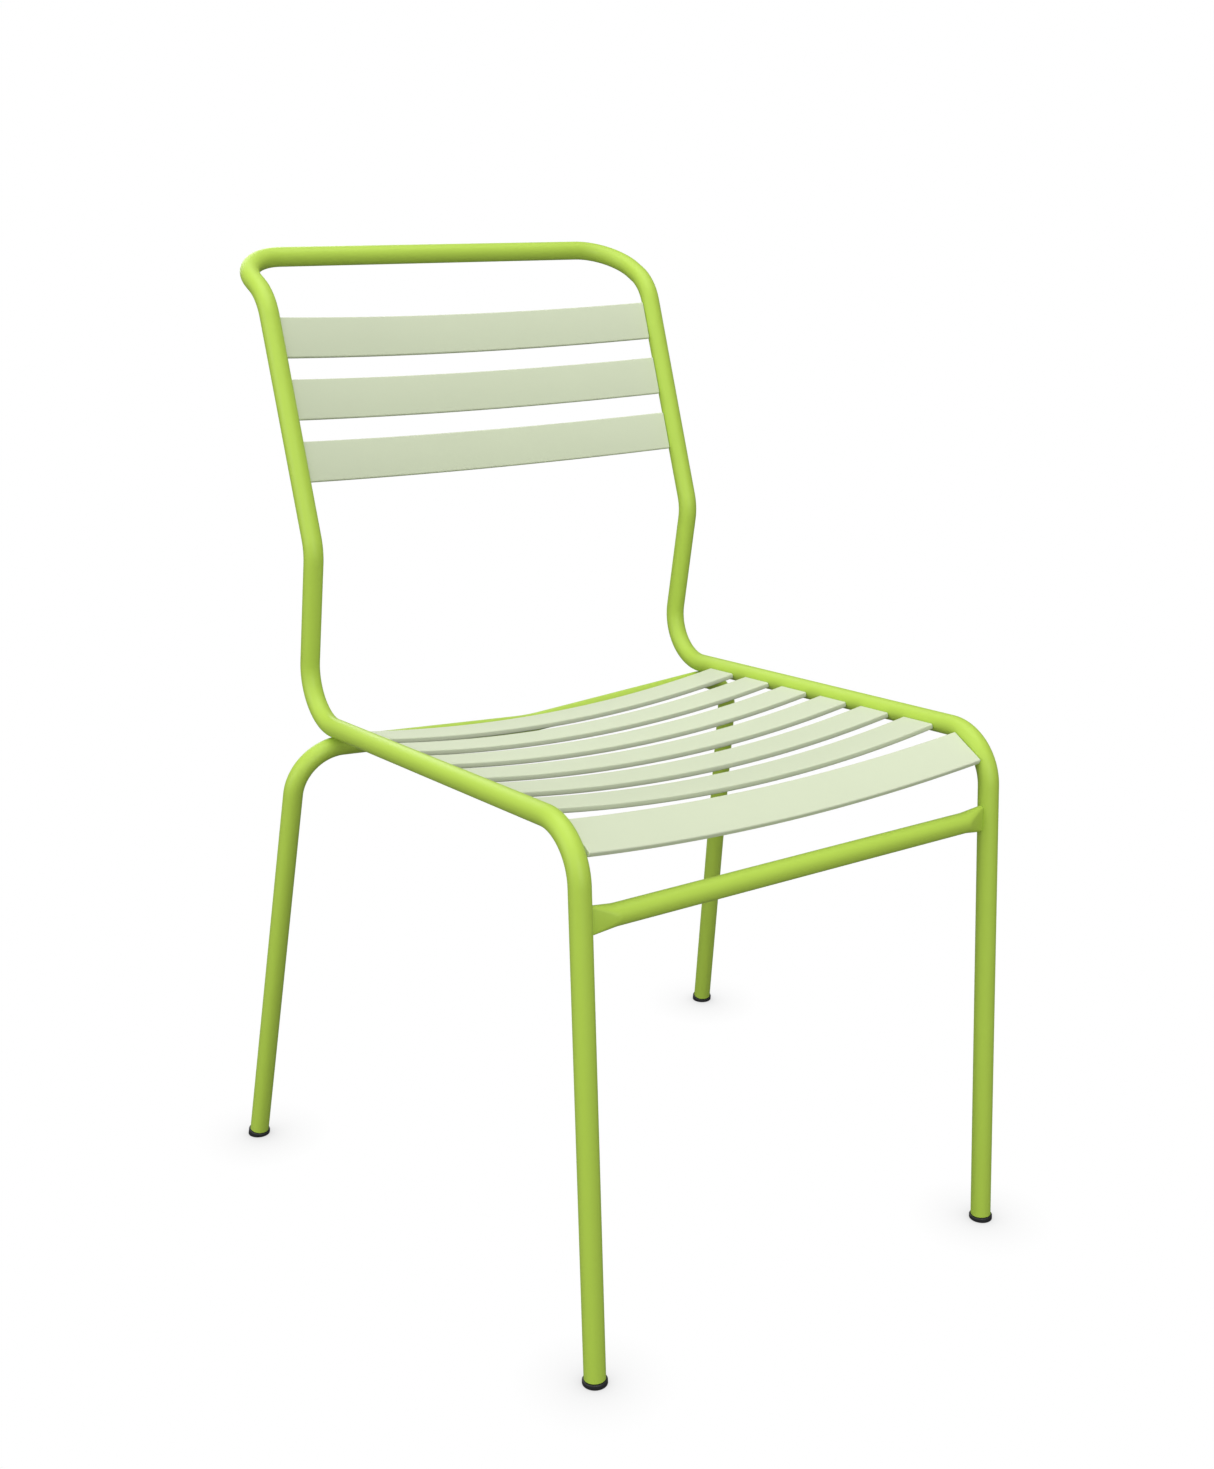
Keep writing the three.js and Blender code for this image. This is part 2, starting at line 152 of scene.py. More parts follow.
class ChairFrameSizes(bpy.types.PropertyGroup):
    """Sizes of the bent tubes. Heights are above the floor and depths behind the front feet."""

    tube_diameter: length("Tube diameter", "Outside diameter of every tube", 18)
    tube_wall: length("Tube wall", "Wall thickness of every tube", 1.5)
    bend_radius: length("Bend radius", "Radius of the bends on the tube's axis", 45)
    seat_height: length("Seat height", "Height of the rails' front corners", 458)
    front_leg_setback: length("Front leg setback", "Depth of the rails' front corners", 25.5)
    seat_depth: length("Seat depth", "From the rails' front corners to their rear corners", 467)
    seat_drop: length("Seat drop", "How much lower the rails' rear corners are", 30)
    lumbar_rise: length("Lumbar rise", "Height of the waist bend over the rear corner", 163.5)
    lumbar_lead: length("Lumbar lead", "How far the waist bend is ahead of the rear corner", 31)
    back_rise: length("Back rise", "Height of the curl bend over the waist bend", 220.5)
    back_lean: length("Back lean", "How far the curl bend is behind the waist bend", 76.5)
    curl_rise: length("Curl rise", "Height of the top rail over the curl bend", 30.8)
    curl_reach: length("Curl reach", "How far the top rail is behind the curl bend", 66.5)
    rail_spacing: length("Rail spacing", "Between the two rails' axes", 419)
    shoulder_inset: length("Shoulder inset", "Rear leg's bend, inside of the rail", 7.5)
    shoulder_overlap: length("Shoulder overlap", "Rear tube, inside of the rail's bend", 1)
    nesting: length("Nesting", "How deep the rear tube is let into the rails' room", 0.74)
    cross_tube_dip: length("Cross tube dip", "How much lower the rear tube is in its middle", 17.5)
    cross_tube_setback: length("Cross tube setback", "How far back its middle is", 4.5)
    cross_tube_bend_radius: length("Cross tube bend", "Radius of its middle bend", 180)
    press_length: length("Press length", "How much of each crossbar end is squeezed", 21)
    press_height: length("Press height", "Height of the squeezed crossbar end", 24)
    press_depth: length("Press depth", "Depth of the squeezed crossbar end", 5)
    contact_gap: length("Contact gap", "Clearance between touching pieces", 0.3)
    front_glide_height: length("Front glide height", "Tube end above the floor, in front", 4)
    rear_glide_height: length("Rear glide height", "Tube end above the floor, at the rear", 5.5)
    tube_sides: IntProperty(
        name="Tube sides", description="Flats round a tube", default=48, min=8, max=96)


class ChairSlatSizes(bpy.types.PropertyGroup):
    """Sizes of the slats and of what holds them."""

    width: length("Width", "Width of every slat", 37)
    thickness: length("Thickness", "Thickness of every slat", 5)
    edge_radius: length("Edge radius", "Rounding of a slat's long edges", 1.2)
    end_radius: length("End radius", "Rounding of a slat's cut ends", 0.6)
    bow: length("Bow", "How deep a slat's middle lies under its ends", 15)
    end_gap: length("End gap", "Between a slat's end and the rail", 0.5)
    front_tilt: FloatProperty(
        name="Front slat tilt", description="Slope of the slat in front",
        default=math.radians(27.6), subtype="ANGLE")
    lug_length: length("Lug length", "From the lug's free end to the rail", 24)
    lug_width: length("Lug width", "Along the rail", 16)
    lug_thickness: length("Lug thickness", "Thickness of the lug plate", 3)
    lug_corner: length("Lug corner", "Radius of the lug's free corners", 4)
    screw_inset: length("Screw inset", "From the slat's end to the screw", 14)
    screw_diameter: length("Screw diameter", "Diameter of the screw's shank", 4)
    screw_depth: length("Screw depth", "How far the screw goes into the slat", 3)
    screw_head_diameter: length("Screw head diameter", "Diameter of the domed head", 8)
    screw_head_height: length("Screw head height", "Height of the domed head", 2.4)
    screw_socket: length("Screw socket", "Across the flats of the six-sided socket", 2.5)


class ChairGlideSizes(bpy.types.PropertyGroup):
    """Sizes of the glides in the legs' open ends."""

    flange_diameter: length("Flange diameter", "Diameter of the rim under the tube", 20.8)
    plug_length: length("Plug length", "How far the plug goes up the tube", 22)
    plug_clearance: length("Plug clearance", "Between the plug and the tube's bore", 0.5)
    rim_radius: length("Rim radius", "Rounding of the rim's upper edge", 0.8)
    tip_chamfer: length("Tip chamfer", "Chamfer on the plug's tip", 1.5)


class ChairColours(bpy.types.PropertyGroup):
    """Colours of the finishes."""

    frame_paint: colour("Frame paint", "Powder coat on the tubes", (0.43, 0.615, 0.072))
    slat_paint: colour("Slat paint", "Powder coat on the slats", (0.605, 0.663, 0.483))
    glide_black: colour("Glide black", "Plastic of the glides", (0.012, 0.013, 0.015))
    screw_zinc: colour("Screw zinc", "Zinc plate on the screws", (0.62, 0.63, 0.64))


# ---- Modelling helpers ----


def deselect_all():
    """Leaves edit mode and drops the selection, so that an operator acts on new work only."""
    if bpy.context.mode != "OBJECT":
        bpy.ops.object.mode_set(mode="OBJECT")
    bpy.ops.object.select_all(action="DESELECT")


def only(piece):
    """Makes one object the selected and active one."""
    deselect_all()
    piece.select_set(True)
    bpy.context.view_layer.objects.active = piece


def name_and_edit(name):
    """Names the primitive just added, applies its place and opens it for editing."""
    piece = bpy.context.active_object
    piece.name = name
    piece.data.name = name
    bpy.ops.object.transform_apply(location=True, rotation=True, scale=True)
    bpy.ops.object.mode_set(mode="EDIT")
    bpy.ops.mesh.select_mode(type="VERT")
    bpy.ops.mesh.select_all(action="SELECT")
    return piece


def pick(piece, kind, test):
    """Selects, in edit mode, the vertices, edges or faces whose middle passes the test."""
    bpy.ops.mesh.select_mode(type=kind)
    bpy.ops.mesh.select_all(action="DESELECT")
    shape = bmesh.from_edit_mesh(piece.data)
    if kind == "VERT":
        for vertex in shape.verts:
            vertex.select = test(vertex.co)
    elif kind == "EDGE":
        for edge in shape.edges:
            edge.select = test((edge.verts[0].co + edge.verts[1].co) / 2)
    else:
        for face in shape.faces:
            face.select = test(face.calc_center_median())
    shape.select_flush_mode()
    bmesh.update_edit_mesh(piece.data)


def edit_all(piece):
    """Opens a piece for editing with all of it selected."""
    only(piece)
    bpy.ops.object.mode_set(mode="EDIT")
    bpy.ops.mesh.select_all(action="SELECT")


def finish_editing(piece):
    """Merges doubles, turns the faces outward and shades the piece by angle."""
    edit_all(piece)
    bpy.ops.mesh.remove_doubles(threshold=MERGE_DISTANCE)
    bpy.ops.mesh.normals_make_consistent(inside=False)
    bpy.ops.object.mode_set(mode="OBJECT")
    bpy.ops.object.shade_smooth_by_angle(angle=SMOOTH_ANGLE)


def close_ends(piece):
    """Puts a face on every open end and finishes the closed shape."""
    edit_all(piece)
    bpy.ops.mesh.fill_holes(sides=0)
    finish_editing(piece)


def apply_modifier(piece, kind, **settings):
    """Adds one modifier to a piece, sets it and applies it."""
    only(piece)
    bpy.ops.object.modifier_add(type=kind)
    modifier = piece.modifiers[-1]
    for setting, value in settings.items():
        setattr(modifier, setting, value)
    bpy.ops.object.modifier_apply(modifier=modifier.name)


def soften_edges(piece, width, segments, sharp_angle):
    """Rounds the edges that turn by more than an angle."""
    apply_modifier(
        piece, "BEVEL", width=width, segments=segments, limit_method="ANGLE",
        angle_limit=sharp_angle)


def place(piece, matrix):
    """Moves a finished piece and applies the move, so that its place is in its mesh."""
    only(piece)
    piece.matrix_world = matrix
    bpy.ops.object.transform_apply(location=True, rotation=True, scale=True)


def copy_piece(piece, name):
    """A copy with its own mesh."""
    only(piece)
    bpy.ops.object.duplicate(linked=False)
    copy = bpy.context.active_object
    copy.name = name
    copy.data.name = name
    return copy


def remove(piece):
    """Deletes a tool or a pattern piece."""
    only(piece)
    bpy.ops.object.delete()


def cut_with(piece, tool):
    """Cuts one solid away from another."""
    apply_modifier(piece, "BOOLEAN", operation="DIFFERENCE", solver="EXACT", object=tool)


def model_drill(sides, radius, depth, height=0.0):
    """A straight round or six-sided tool that stands on the Z axis."""
    deselect_all()
    bpy.ops.mesh.primitive_cylinder_add(
        vertices=sides, radius=radius, depth=depth, location=(0, 0, height))
    return bpy.context.active_object


def stand_for(piece, node, material):
    """Gives a piece its material and lets it stand for a CAD node."""
    piece.data.materials.clear()
    piece.data.materials.append(material)
    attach(piece, "root")
    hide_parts(node)


# ---- Tubes ----


def tube_radius(sizes):
    """Outside radius of the tube stock."""
    return sizes.tube_diameter / 2


def bend_tube(name, corners, radius, sides, step):
    """Extrudes a ring along the straight runs and spins it round the bends.

    Each corner is a point and the radius of its bend. A corner in line with its
    neighbours only adds a ring there."""
    deselect_all()
    here = corners[0][0]
    heading = (corners[1][0] - here).to_track_quat("Z", "X")
    bpy.ops.mesh.primitive_circle_add(
        vertices=sides, radius=radius, location=here, rotation=heading.to_euler())
    tube = name_and_edit(name)
    for before, at, after in zip(corners, corners[1:], corners[2:]):
        corner, bend = at
        arriving = (corner - before[0]).normalized()
        leaving = (after[0] - corner).normalized()
        turn = arriving.angle(leaving)
        if turn < STRAIGHT_TURN:
            extrude_to(here, corner)
            here = corner
            continue
        run_in = bend * math.tan(turn / 2)
        start = corner - arriving * run_in
        axis = arriving.cross(leaving).normalized()
        centre = start + axis.cross(arriving) * bend
        extrude_to(here, start)
        bpy.ops.mesh.spin(
            steps=max(3, round(turn / step)), angle=-turn, center=centre, axis=axis)
        here = corner + leaving * run_in
    extrude_to(here, corners[-1][0])
    face_outward(tube)
    return tube


def extrude_to(here, there):
    """Extrudes the selected ring from one point of the axis to another."""
    bpy.ops.mesh.extrude_region_move(TRANSFORM_OT_translate={"value": there - here})


def rail_corner(sizes, side, depth, height):
    """A point over a rail, from its depth behind the front feet and its height."""
    front = FEET["front_foot_right"].y
    return Vector((side * sizes.rail_spacing / 2, front + depth, height))


def seat_front_corner(sizes, side):
    """Where the axes of a front leg and a rail meet."""
    return rail_corner(sizes, side, sizes.front_leg_setback, sizes.seat_height)


def front_foot(side):
    """The middle of a front foot on the floor."""
    return FEET["front_foot_right" if side > 0 else "front_foot_left"]


def rear_foot(side):
    """The middle of a rear foot on the floor."""
    return FEET["rear_foot_right" if side > 0 else "rear_foot_left"]


def up_the_leg(foot, corner, distance):
    """A point on a leg's axis, at a distance from its foot."""
    return foot + (corner - foot).normalized() * distance


def frame_corners(sizes):
    """Corners of the long frame tube, from the left front foot over the back to the right."""
    steps = [
        (0, 0),
        (sizes.seat_depth, -sizes.seat_drop),
        (-sizes.lumbar_lead, sizes.lumbar_rise),
        (sizes.back_lean, sizes.back_rise),
        (sizes.curl_reach, sizes.curl_rise),
    ]
    halves = {}
    for side in SIDES.values():
        depth, height = sizes.front_leg_setback, sizes.seat_height
        first = seat_front_corner(sizes, side)
        half = [up_the_leg(front_foot(side), first, sizes.front_glide_height)]
        for back, up in steps:
            depth += back
            height += up
            half.append(rail_corner(sizes, side, depth, height))
        halves[side] = half
    points = halves[-1] + halves[1][::-1]
    return [(point, sizes.bend_radius) for point in points]


def seat_slope(sizes):
    """The rails' slope, which falls to the rear."""
    return math.atan2(-sizes.seat_drop, sizes.seat_depth)


def back_slope(sizes):
    """The slope of the uprights that carry the back slats."""
    return math.atan2(sizes.back_rise, sizes.back_lean)


def shoulder(sizes, side):
    """Corner of the rear leg tube. The tube crosses the rail where its rear bend has begun."""
    turn = math.atan2(sizes.lumbar_rise, -sizes.lumbar_lead) - seat_slope(sizes)
    bend_run = sizes.bend_radius * math.tan(turn / 2)
    along = sizes.seat_depth - bend_run + sizes.shoulder_overlap
    rail_height = sizes.seat_height + along * math.tan(seat_slope(sizes))
    crossing = rail_height - sizes.tube_diameter - sizes.contact_gap + sizes.nesting
    corner = rail_corner(sizes, side, sizes.front_leg_setback + along, crossing)
    rail_x = abs(corner.x)
    corner.x += side * (sizes.bend_radius - sizes.shoulder_inset)
    corner.z += sizes.cross_tube_dip * (1 - rail_x / abs(corner.x))
    return corner


def rear_corners(sizes):
    """Corners of the rear leg tube, with extra rings where it passes under the rails."""
    middle = (shoulder(sizes, -1) + shoulder(sizes, 1)) / 2
    middle.y += sizes.cross_tube_setback
    middle.z -= sizes.cross_tube_dip
    halves = {}
    for side in SIDES.values():
        corner = shoulder(sizes, side)
        foot = up_the_leg(rear_foot(side), corner, sizes.rear_glide_height)
        inward = (middle - corner).normalized()
        upward = (corner - foot).normalized()
        bend_end = sizes.bend_radius * math.tan(upward.angle(inward) / 2)
        half = [(foot, sizes.bend_radius), (corner, sizes.bend_radius)]
        for ring in range(1, SADDLE_RINGS + 1):
            half.append((corner + inward * (bend_end + ring * SADDLE_RING_PITCH), 0.0))
        halves[side] = half
    centre = [(middle, sizes.cross_tube_bend_radius)]
    return halves[-1] + centre + halves[1][::-1]


def frame_room(sizes):
    """A closed tool that fills the frame tube's room, with the contact gap round it."""
    radius = tube_radius(sizes) + sizes.contact_gap
    room = bend_tube(
        "room", frame_corners(sizes), radius, sizes.tube_sides, ROOM_BEND_STEP)
    close_ends(room)
    return room


def face_outward(tube):
    """Turns an open tube's faces outward, with its flat ends closed while that is worked out."""
    close_ends(tube)
    bpy.ops.object.mode_set(mode="EDIT")
    bpy.ops.mesh.select_mode(type="FACE")
    bpy.ops.mesh.select_all(action="DESELECT")
    bpy.ops.mesh.select_face_by_sides(number=4, type="GREATER")
    bpy.ops.mesh.delete(type="ONLY_FACE")
    bpy.ops.object.mode_set(mode="OBJECT")


def wall_and_lip(tube, sizes):
    """Gives a tube its wall, inward, and rounds the edges of its open ends."""
    apply_modifier(tube, "SOLIDIFY", thickness=sizes.tube_wall, offset=-1.0)
    soften_edges(tube, LIP_RADIUS, 3, LIP_ANGLE)
    bpy.ops.object.shade_smooth_by_angle(angle=SMOOTH_ANGLE)


class CHAIR_OT_frame_tube(bpy.types.Operator):
    """Bends the long tube that is front legs, rails, uprights and top rail in one"""

    bl_idname = "chair.frame_tube"
    bl_label = "Frame Tube"

    def execute(self, context):
        sizes = context.scene.chair_frame
        tube = bend_tube(
            "frame_tube_smooth", frame_corners(sizes), tube_radius(sizes),
            sizes.tube_sides, FRAME_BEND_STEP)
        wall_and_lip(tube, sizes)
        stand_for(tube, "frame_tube", frame_paint(context))
        return {"FINISHED"}


class CHAIR_OT_rear_leg_tube(bpy.types.Operator):
    """Bends the rear leg tube and presses it where it seats under the rails"""

    bl_idname = "chair.rear_leg_tube"
    bl_label = "Rear Leg Tube"

    def execute(self, context):
        sizes = context.scene.chair_frame
        tube = bend_tube(
            "rear_leg_tube_smooth", rear_corners(sizes), tube_radius(sizes),
            sizes.tube_sides, REAR_BEND_STEP)
        room = frame_room(sizes)
        apply_modifier(
            tube, "SHRINKWRAP", target=room, wrap_method="NEAREST_SURFACEPOINT",
            wrap_mode="OUTSIDE")
        remove(room)
        wall_and_lip(tube, sizes)
        stand_for(tube, "rear_leg_tube", frame_paint(context))
        return {"FINISHED"}


def crossbar_stations(sizes, half_length):
    """Places of the rings along one half, and how far each is pressed, from 0 to 1.

    The press starts with a small fillet, and then goes on evenly to just short of the leg."""
    surface = half_length - tube_radius(sizes) - 2 * sizes.contact_gap
    fillet = PRESS_FILLET_STEPS / PRESS_STEPS
    stations = []
    for step in range(PRESS_STEPS + 1):
        share = step / PRESS_STEPS
        pressed = share * share / (2 * fillet) if share < fillet else share - fillet / 2
        x = surface - sizes.press_length * (1 - share)
        stations.append((x, pressed / (1 - fillet / 2)))
    return stations


class CHAIR_OT_front_crossbar(bpy.types.Operator):
    """Draws the straight crossbar and squeezes its two ends tall and flat at the legs"""

    bl_idname = "chair.front_crossbar"
    bl_label = "Front Crossbar"

    def execute(self, context):
        sizes = context.scene.chair_frame
        low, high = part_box("front_crossbar")
        height = (low.z + high.z) / 2
        share = height / sizes.seat_height
        at_leg = front_foot(1).lerp(seat_front_corner(sizes, 1), share)
        half_length = at_leg.x
        stations = crossbar_stations(sizes, half_length)
        xs = [-half_length] + [-x for x, _ in reversed(stations)]
        xs += [x for x, _ in stations] + [half_length]
        corners = [(Vector((x, at_leg.y, height)), 0.0) for x in xs]
        bar = bend_tube(
            "front_crossbar_smooth", corners, tube_radius(sizes), sizes.tube_sides,
            FRAME_BEND_STEP)
        self.press_ends(bar, sizes, stations + [(half_length, 1.0)], at_leg.y, height)
        self.cope_ends(bar, sizes, half_length)
        wall_and_lip(bar, sizes)
        stand_for(bar, "front_crossbar", frame_paint(context))
        return {"FINISHED"}

    def press_ends(self, bar, sizes, stations, depth, height):
        """Presses each end ring to two half circles with flat sides between them."""
        radius = tube_radius(sizes)
        end_radius = sizes.press_depth / 2
        end_straight = sizes.press_height / 2 - end_radius
        only(bar)
        bpy.ops.object.mode_set(mode="EDIT")
        for side in SIDES.values():
            for x, share in stations:
                centre = Vector((side * x, depth, height))
                narrower = 1 + (end_radius / radius - 1) * share
                pick(bar, "VERT", lambda co: abs(co.x - centre.x) < FIND_DISTANCE)
                bpy.ops.transform.resize(
                    value=(1, narrower, narrower), center_override=centre)
                for half in (-1, 1):
                    pick(bar, "VERT", lambda co: abs(co.x - centre.x) < FIND_DISTANCE
                         and (co.z - height) * half > FIND_DISTANCE)
                    bpy.ops.transform.translate(value=(0, 0, half * end_straight * share))
        bpy.ops.object.mode_set(mode="OBJECT")

    def cope_ends(self, bar, sizes, half_length):
        """Fits the rim of each end to the leg that it meets."""
        room = frame_room(sizes)
        for ending, side in SIDES.items():
            group = bar.vertex_groups.new(name=ending)
            rim = [v.index for v in bar.data.vertices
                   if abs(v.co.x - side * half_length) < FIND_DISTANCE]
            group.add(rim, 1.0, "REPLACE")
            apply_modifier(
                bar, "SHRINKWRAP", target=room, wrap_method="PROJECT",
                use_project_x=True, use_negative_direction=side > 0,
                use_positive_direction=side < 0, vertex_group=ending)
        bar.vertex_groups.clear()
        remove(room)


# ---- Slats ----


def half_slat(frame_sizes, sizes):
    """From a slat's middle to its end, straight across."""
    inner = frame_sizes.rail_spacing - frame_sizes.tube_diameter
    return inner / 2 - sizes.end_gap


def bow_radius(frame_sizes, sizes):
    """Radius of the arc that a slat's outer face follows."""
    half = half_slat(frame_sizes, sizes)
    return (half * half + sizes.bow * sizes.bow) / (2 * sizes.bow)


def bow_angle(frame_sizes, sizes):
    """Angle of that arc from a slat's middle to its end."""
    return math.asin(half_slat(frame_sizes, sizes) / bow_radius(frame_sizes, sizes))


def round_the_bow(frame_sizes, sizes, angle, below_face):
    """Stands a piece on the bow, at an angle from its middle and below its outer face."""
    radius = bow_radius(frame_sizes, sizes)
    centre = Matrix.Translation((0, 0, radius - sizes.bow))
    turn = Matrix.Rotation(-angle, 4, "Y")
    return centre @ turn @ Matrix.Translation((0, 0, -radius - below_face))


def slat_place(node, sizes, slope):
    """Where a slat's ends lie: the CAD solid's middle, raised by half of its full depth."""
    low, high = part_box(node)
    turn = Matrix.Rotation(slope, 4, "X")
    up = turn @ Vector((0, 0, (sizes.bow + sizes.thickness) / 2))
    return Matrix.Translation((low + high) / 2 + up) @ turn


def numbered_nodes(start):
    """The CAD nodes that are called by this name and one digit."""
    return sorted(node for node in frame["nodes"] if node[:-1] == start and node[-1].isdigit())


def slat_places(frame_sizes, sizes):
    """Every slat's CAD node with its place."""
    slopes = [(node, seat_slope(frame_sizes)) for node in numbered_nodes("seat_slat_")]
    slopes += [(FRONT_SLAT, sizes.front_tilt)]
    slopes += [(node, back_slope(frame_sizes)) for node in numbered_nodes("back_slat_")]
    return [(node, slat_place(node, sizes, slope)) for node, slope in slopes]


def model_slat(name, frame_sizes, sizes):
    """Spins a rounded section along the bow and rounds the two cut ends."""
    deselect_all()
    end = bow_angle(frame_sizes, sizes)
    radius = bow_radius(frame_sizes, sizes)
    middle = Vector((0, 0, -sizes.bow - sizes.thickness / 2))
    bpy.ops.mesh.primitive_plane_add(size=1, rotation=(0, math.pi / 2, 0))
    slat = name_and_edit(name)
    bpy.ops.transform.resize(
        value=(1, sizes.width, sizes.thickness), center_override=(0, 0, 0))
    bpy.ops.transform.translate(value=middle)
    bpy.ops.mesh.bevel(
        affect="VERTICES", offset=sizes.edge_radius, segments=5, profile=0.5)
    bpy.ops.object.mode_set(mode="OBJECT")
    start = round_the_bow(frame_sizes, sizes, -end, 0) @ Matrix.Translation((0, 0, sizes.bow))
    place(slat, start)
    edit_all(slat)
    bpy.ops.mesh.spin(
        steps=BOW_STEPS, angle=2 * end, center=(0, 0, radius - sizes.bow), axis=(0, 1, 0))
    finish_editing(slat)
    round_slat_ends(slat, end, radius, sizes)
    return slat


def round_slat_ends(slat, end, radius, sizes):
    """Rounds the edges round each cut end."""
    bpy.ops.object.mode_set(mode="EDIT")
    height = radius - sizes.bow

    def at_end(co):
        return abs(abs(math.atan2(co.x, height - co.z)) - end) < FIND_ANGLE

    pick(slat, "FACE", at_end)
    bpy.ops.mesh.region_to_loop()
    bpy.ops.mesh.bevel(affect="EDGES", offset=sizes.end_radius, segments=3, profile=0.5)
    finish_editing(slat)


def drill_slat(slat, frame_sizes, sizes):
    """Drills the two blind screw holes in a slat's hidden face."""
    radius = sizes.screw_diameter / 2 + frame_sizes.contact_gap
    depth = sizes.screw_depth + frame_sizes.contact_gap
    end = bow_angle(frame_sizes, sizes)
    inset = sizes.screw_inset / bow_radius(frame_sizes, sizes)
    for side in SIDES.values():
        drill = model_drill(DRILL_SIDES, radius, 2 * depth)
        angle = side * (end - inset)
        place(drill, round_the_bow(frame_sizes, sizes, angle, sizes.thickness))
        cut_with(slat, drill)
        remove(drill)
    finish_editing(slat)


class CHAIR_OT_slats(bpy.types.Operator):
    """Models one slat and copies it to its places in the seat and the back"""

    bl_idname = "chair.slats"
    bl_label = "Slats"

    def execute(self, context):
        frame_sizes = context.scene.chair_frame
        sizes = context.scene.chair_slats
        pattern = model_slat("slat_pattern", frame_sizes, sizes)
        drill_slat(pattern, frame_sizes, sizes)
        for node, matrix in slat_places(frame_sizes, sizes):
            slat = copy_piece(pattern, f"{node}_smooth")
            place(slat, matrix)
            stand_for(slat, node, slat_paint(context))
        remove(pattern)
        return {"FINISHED"}


# ---- Lugs and screws ----


def fixing_place(frame_sizes, sizes, matrix, side, below_face):
    """Where a lug or a screw stands under one end of a slat."""
    inset = sizes.screw_inset / bow_radius(frame_sizes, sizes)
    angle = side * (bow_angle(frame_sizes, sizes) - inset)
    return matrix @ round_the_bow(frame_sizes, sizes, angle, below_face)


def lug_distance(frame_sizes, sizes):
    """From a slat's outer face to its lug's lower face."""
    return sizes.thickness + frame_sizes.contact_gap + sizes.lug_thickness


def model_lug(name, frame_sizes, sizes):
    """A flat plate with a screw hole, rounded at its free end, long enough to reach the rail."""
    deselect_all()
    free_end = sizes.lug_length - sizes.screw_inset
    rail_end = sizes.screw_inset + tube_radius(frame_sizes)
    size = (free_end + rail_end, sizes.lug_width, sizes.lug_thickness)
    middle = ((rail_end - free_end) / 2, 0, sizes.lug_thickness / 2)
    bpy.ops.mesh.primitive_cube_add(size=1, location=middle, scale=size)
    lug = name_and_edit(name)
    pick(lug, "EDGE", lambda co: abs(co.x + free_end) < FIND_DISTANCE
         and abs(co.z - sizes.lug_thickness / 2) < FIND_DISTANCE)
    bpy.ops.mesh.bevel(affect="EDGES", offset=sizes.lug_corner, segments=10)
    bpy.ops.object.mode_set(mode="OBJECT")
    radius = sizes.screw_diameter / 2 + frame_sizes.contact_gap
    drill = model_drill(DRILL_SIDES, radius, 4 * sizes.lug_thickness)
    cut_with(lug, drill)
    remove(drill)
    return lug


class CHAIR_OT_lugs(bpy.types.Operator):
    """Models one lug plate, copies it under every slat end and fits it to the rail"""

    bl_idname = "chair.lugs"
    bl_label = "Lugs"

    def execute(self, context):
        frame_sizes = context.scene.chair_frame
        sizes = context.scene.chair_slats
        pattern = model_lug("lug_pattern", frame_sizes, sizes)
        room = frame_room(frame_sizes)
        distance = lug_distance(frame_sizes, sizes)
        for node, matrix in slat_places(frame_sizes, sizes):
            for ending, side in SIDES.items():
                lug = copy_piece(pattern, f"{node}_lug_{ending}_smooth")
                turn = Matrix.Rotation(0 if side > 0 else math.pi, 4, "Z")
                place(lug, fixing_place(frame_sizes, sizes, matrix, side, distance) @ turn)
                cut_with(lug, room)
                finish_editing(lug)
                soften_edges(lug, EDGE_RADIUS, 2, SHARP_ANGLE)
                bpy.ops.object.shade_smooth_by_angle(angle=SMOOTH_ANGLE)
                stand_for(lug, f"{node}_lug_{ending}", frame_paint(context))
        remove(pattern)
        remove(room)
        return {"FINISHED"}


def model_screw(name, frame_sizes, sizes):
    """A domed head with a six-sided socket, drawn down from its seat, and a plain shank."""
    head = sizes.screw_head_diameter / 2
    shank = sizes.screw_diameter / 2
    shank_top = sizes.lug_thickness + 2 * frame_sizes.contact_gap + sizes.screw_depth
    rim = SCREW_RIM_SHARE * sizes.screw_head_height
    profile = [(shank, shank_top), (shank, 0), (head, 0), (head, -rim)]
    for ring in range(1, SCREW_DOME_RINGS + 1):
        rise = ring / SCREW_DOME_RINGS * SCREW_DOME_ANGLE
        share = math.sin(rise) / math.sin(SCREW_DOME_ANGLE)
        height = -rim - (sizes.screw_head_height - rim) * share
        profile.append((head * math.cos(rise), height))
    screw = turned_piece(name, profile, SCREW_SIDES)
    key = model_drill(
        6, sizes.screw_socket / math.sqrt(3), SCREW_KEY_SHARE * sizes.screw_head_height,
        -sizes.screw_head_height)
    cut_with(screw, key)
    remove(key)
    finish_editing(screw)
    soften_edges(screw, SCREW_EDGE_RADIUS, 2, SHARP_ANGLE)
    return screw


def turned_piece(name, profile, sides):
    """Draws a ring along Z through the profile's radii and heights and closes its ends."""
    deselect_all()
    radius, height = profile[0]
    bpy.ops.mesh.primitive_circle_add(
        vertices=sides, radius=radius, location=(0, 0, height))
    piece = name_and_edit(name)
    for next_radius, next_height in profile[1:]:
        rise = next_height - height
        scale = next_radius / radius
        bpy.ops.mesh.extrude_region_move(TRANSFORM_OT_translate={"value": (0, 0, rise)})
        bpy.ops.transform.resize(value=(scale, scale, 1), center_override=(0, 0, 0))
        radius, height = next_radius, next_height
    close_ends(piece)
    return piece


